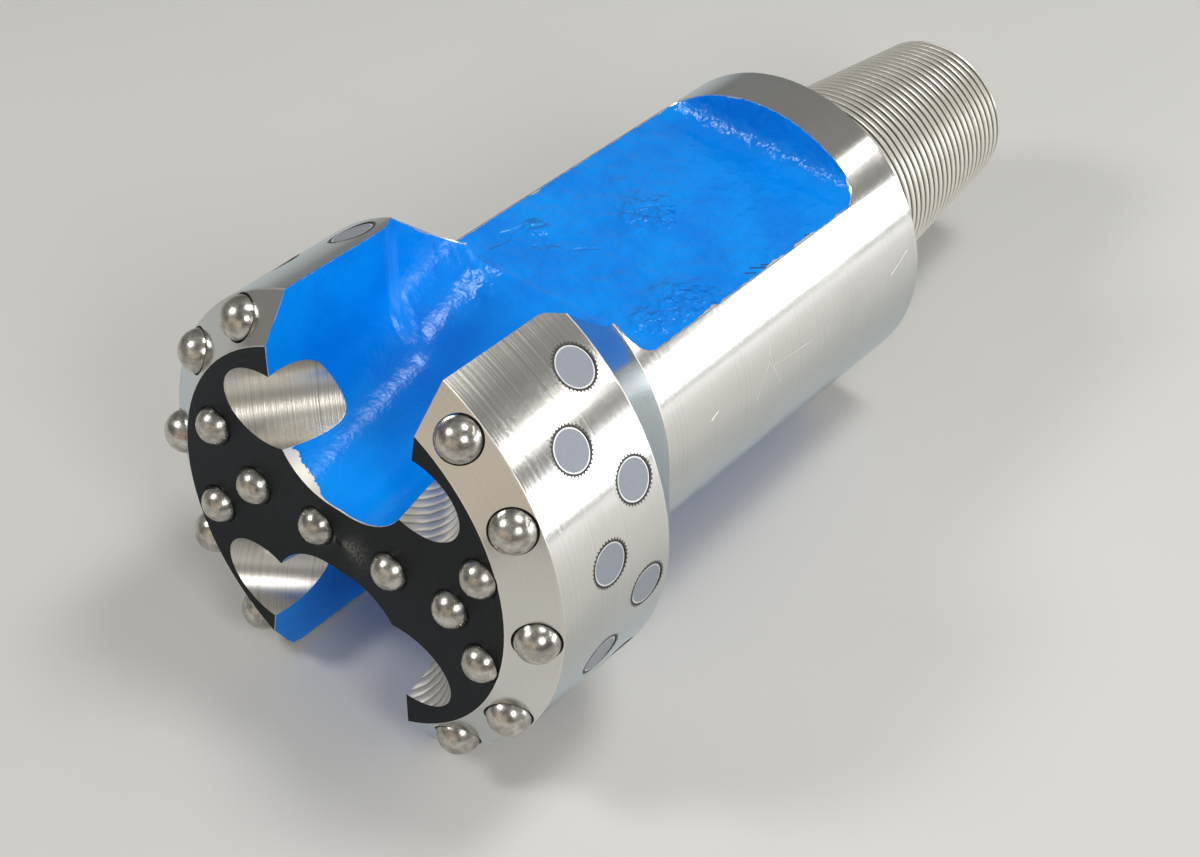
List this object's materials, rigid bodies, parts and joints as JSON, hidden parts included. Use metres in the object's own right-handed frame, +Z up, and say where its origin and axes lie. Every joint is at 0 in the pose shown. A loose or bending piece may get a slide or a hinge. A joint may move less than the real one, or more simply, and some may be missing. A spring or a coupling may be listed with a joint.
{
  "type": "cable tool drill bit",
  "caption": "Percussion drill bit with two winged cutting faces, domed and flush carbide inserts, wide water courses, flatted shank and tapered threaded pin.",
  "frame": {"origin": "middle of the bounding box, on the floor that the bit rests on", "axes": "+Y along the bit towards its threaded pin, which points 5.1 degrees below +Y; +X across the wings, towards the right wing; +Z up"},
  "size_m": [0.1588, 0.3462, 0.1496],
  "materials": {
    "body_steel": "machined satin steel, with glossy bright blue enamel in the channels and on the shank flats",
    "carbide_dome": "polished grey carbide",
    "carbide_flat": "matt ground carbide with a bright chamfer"
  },
  "bodies": {
    "root": {"bit_body": "body_steel", "face_button_left_1": "carbide_dome", "face_button_left_2": "carbide_dome", "face_button_left_3": "carbide_dome", "face_button_left_4": "carbide_dome", "gauge_button_left_1": "carbide_dome", "gauge_button_left_2": "carbide_dome", "gauge_button_left_3": "carbide_dome", "gauge_button_left_4": "carbide_dome", "gauge_button_left_5": "carbide_dome", "gauge_insert_left_1": "carbide_flat", "gauge_insert_left_2": "carbide_flat", "gauge_insert_left_3": "carbide_flat", "gauge_insert_left_4": "carbide_flat", "gauge_insert_left_5": "carbide_flat", "gauge_insert_left_6": "carbide_flat", "gauge_insert_left_7": "carbide_flat", "gauge_insert_left_8": "carbide_flat", "gauge_insert_left_9": "carbide_flat", "face_button_right_1": "carbide_dome", "face_button_right_2": "carbide_dome", "face_button_right_3": "carbide_dome", "face_button_right_4": "carbide_dome", "gauge_button_right_1": "carbide_dome", "gauge_button_right_2": "carbide_dome", "gauge_button_right_3": "carbide_dome", "gauge_button_right_4": "carbide_dome", "gauge_button_right_5": "carbide_dome", "gauge_insert_right_1": "carbide_flat", "gauge_insert_right_2": "carbide_flat", "gauge_insert_right_3": "carbide_flat", "gauge_insert_right_4": "carbide_flat", "gauge_insert_right_5": "carbide_flat", "gauge_insert_right_6": "carbide_flat", "gauge_insert_right_7": "carbide_flat", "gauge_insert_right_8": "carbide_flat", "gauge_insert_right_9": "carbide_flat"}
  },
  "joints": []
}
